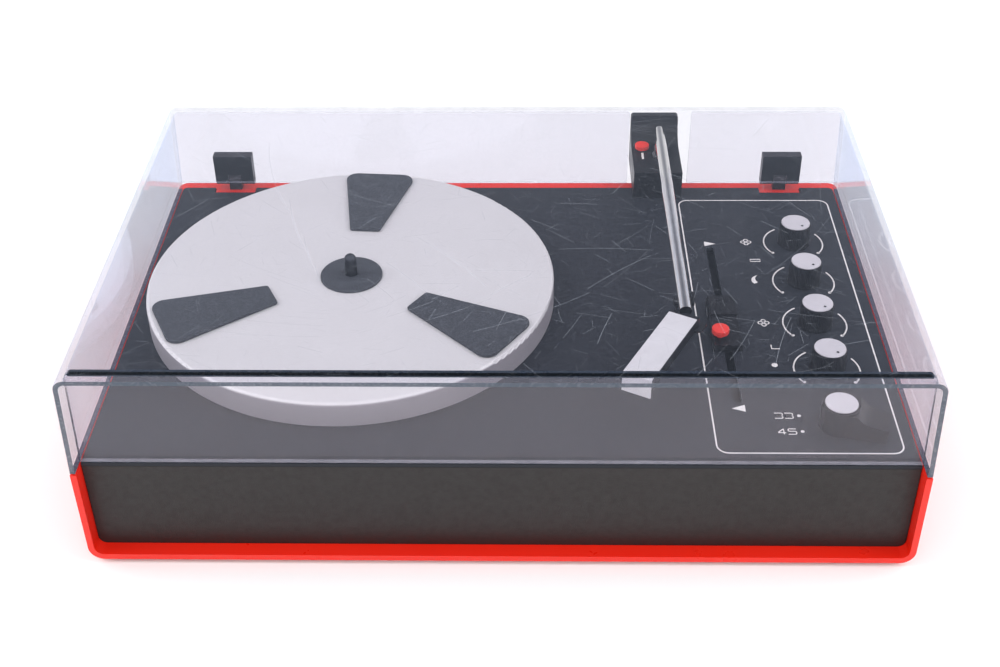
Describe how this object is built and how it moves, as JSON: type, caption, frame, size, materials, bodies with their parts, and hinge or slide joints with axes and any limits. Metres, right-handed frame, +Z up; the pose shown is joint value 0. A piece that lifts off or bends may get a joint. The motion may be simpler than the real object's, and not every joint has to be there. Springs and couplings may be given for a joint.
{
  "type": "record player",
  "caption": "Compact stereo record player with a clear hinged lid, rim-driven platter, straight tonearm, cue slider, rotary controls and a built-in amplifier.",
  "frame": {"origin": "on the ground under the middle of the whole part", "axes": "+X to the right seen from the front, +Y to the rear, +Z up"},
  "size_m": [0.434, 0.32, 0.1227],
  "materials": {
    "red_plastic": "glossy",
    "black_plastic": "satin",
    "deck_finish": "fine speckled satin",
    "clear_acrylic": "clear, lightly scratched",
    "platter_metal": "satin",
    "bright_metal": "polished",
    "steel": "plain",
    "brass": "machined",
    "rubber": "matte",
    "white_plastic": "satin",
    "red_button": "satin",
    "board": "matte",
    "board_parts": "matte",
    "core_steel": "varnished"
  },
  "bodies": {
    "base": {"base_tray": "red_plastic", "front_panel": "black_plastic", "deck_plate": "deck_finish", "deck_pillars": "red_plastic", "screws": "steel", "rubber_feet": "rubber", "connector_plate": "black_plastic", "din_sockets": "bright_metal", "mains_inlet": "black_plastic", "hinge_lugs": "black_plastic", "hinge_pins": "steel", "bearing_housing": "brass", "motor": "core_steel", "motor_mounts": "rubber", "arm_block": "black_plastic", "arm_bracket": "steel", "arm_rest": "black_plastic", "cue_guide": "black_plastic", "potentiometers": "steel", "speed_switch": "steel", "amplifier_board": "board", "board_parts": "board_parts", "heat_sink": "platter_metal", "transformer": "core_steel"},
    "lid": {"lid_shell": "clear_acrylic", "lid_front_pane": "clear_acrylic", "lid_rear_pane_left": "clear_acrylic", "lid_rear_pane_right": "clear_acrylic", "hinge_block_left": "black_plastic", "hinge_block_right": "black_plastic"},
    "platter": {"platter": "platter_metal", "platter_pads": "rubber", "centre_cap": "rubber", "spindle": "bright_metal"},
    "motor_rotor": {"motor_pulley": "brass"},
    "idler_arm": {"idler_arm": "steel"},
    "idler": {"idler_wheel": "steel", "idler_tyre": "rubber"},
    "arm_turret": {"arm_yoke": "steel"},
    "arm": {"arm_saddle": "steel", "arm_tube": "bright_metal", "counterweight": "brass", "headshell": "black_plastic", "headshell_plate": "white_plastic", "finger_lift": "black_plastic", "cartridge": "black_plastic", "stylus": "steel"},
    "force_dial": {"force_dial": "red_button"},
    "cue_slider": {"cue_slider": "black_plastic"},
    "cue_button": {"cue_button": "red_button"},
    "volume": {"volume_knob": "black_plastic", "volume_cap": "white_plastic"},
    "balance": {"balance_knob": "black_plastic", "balance_cap": "white_plastic"},
    "bass": {"bass_knob": "black_plastic", "bass_cap": "white_plastic"},
    "treble": {"treble_knob": "black_plastic", "treble_cap": "white_plastic"},
    "speed_lever": {"speed_lever": "black_plastic", "speed_cap": "white_plastic"}
  },
  "joints": [
    {"name": "lid_hinge", "type": "hinge", "parent": "base", "child": "lid", "pos_m": [0, 0.1235, 0.068], "axis": [-1, 0, 0], "range_deg": [0, 80]},
    {"name": "platter_spin", "type": "hinge", "parent": "base", "child": "platter", "pos_m": [-0.0885, -0.005, 0.0625], "axis": [0, 0, -1], "continuous": true},
    {"name": "idler_arm_swing", "type": "hinge", "parent": "base", "child": "idler_arm", "pos_m": [-0.02137, -0.02905, 0.0625], "axis": [0, 0, -1], "range_deg": [0, 5]},
    {"name": "idler_spin", "type": "hinge", "parent": "idler_arm", "child": "idler", "pos_m": [-0.00798, -0.06138, 0.0705], "axis": [0, 0, -1], "continuous": true},
    {"name": "motor_spin", "type": "hinge", "parent": "base", "child": "motor_rotor", "pos_m": [-0.00454, -0.04191, 0.0625], "axis": [0, 0, -1], "continuous": true},
    {"name": "arm_swing", "type": "hinge", "parent": "base", "child": "arm_turret", "pos_m": [0.1004, 0.13, 0.0725], "axis": [0, 0, -1], "range_deg": [0, 34]},
    {"name": "arm_lift", "type": "hinge", "parent": "arm_turret", "child": "arm", "pos_m": [0.1004, 0.13, 0.086], "axis": [-1, 0, 0], "range_deg": [0, 5]},
    {"name": "force_dial_turn", "type": "hinge", "parent": "base", "child": "force_dial", "pos_m": [0.0892, 0.1394, 0.0785], "axis": [0, 0, 1], "range_deg": [-150, 150]},
    {"name": "cue_slide", "type": "slide", "parent": "base", "child": "cue_slider", "axis": [0, 1, 0], "range_m": [-0.06, 0.07]},
    {"name": "cue_button_press", "type": "slide", "parent": "cue_slider", "child": "cue_button", "axis": [0, 0, -1], "range_m": [0, 0.0015], "stiffness_N_per_m": 300, "springref_m": -0.001},
    {"name": "volume_turn", "type": "hinge", "parent": "base", "child": "volume", "pos_m": [0.1783, -0.0727, 0.0625], "axis": [0, 0, -1], "range_deg": [-140, 140]},
    {"name": "balance_turn", "type": "hinge", "parent": "base", "child": "balance", "pos_m": [0.1783, -0.0303, 0.0625], "axis": [0, 0, -1], "range_deg": [-140, 140]},
    {"name": "bass_turn", "type": "hinge", "parent": "base", "child": "bass", "pos_m": [0.1783, 0.0121, 0.0625], "axis": [0, 0, -1], "range_deg": [-140, 140]},
    {"name": "treble_turn", "type": "hinge", "parent": "base", "child": "treble", "pos_m": [0.1783, 0.0545, 0.0625], "axis": [0, 0, -1], "range_deg": [-140, 140]},
    {"name": "speed_select", "type": "hinge", "parent": "base", "child": "speed_lever", "pos_m": [0.1762, -0.1205, 0.0625], "axis": [0, 0, 1], "range_deg": [-15, 25]}
  ],
  "couplings": [
    {"joint": "idler_spin", "follows": "platter_spin", "ratio": 6.7941},
    {"joint": "motor_spin", "follows": "platter_spin", "ratio": -44.942}
  ]
}
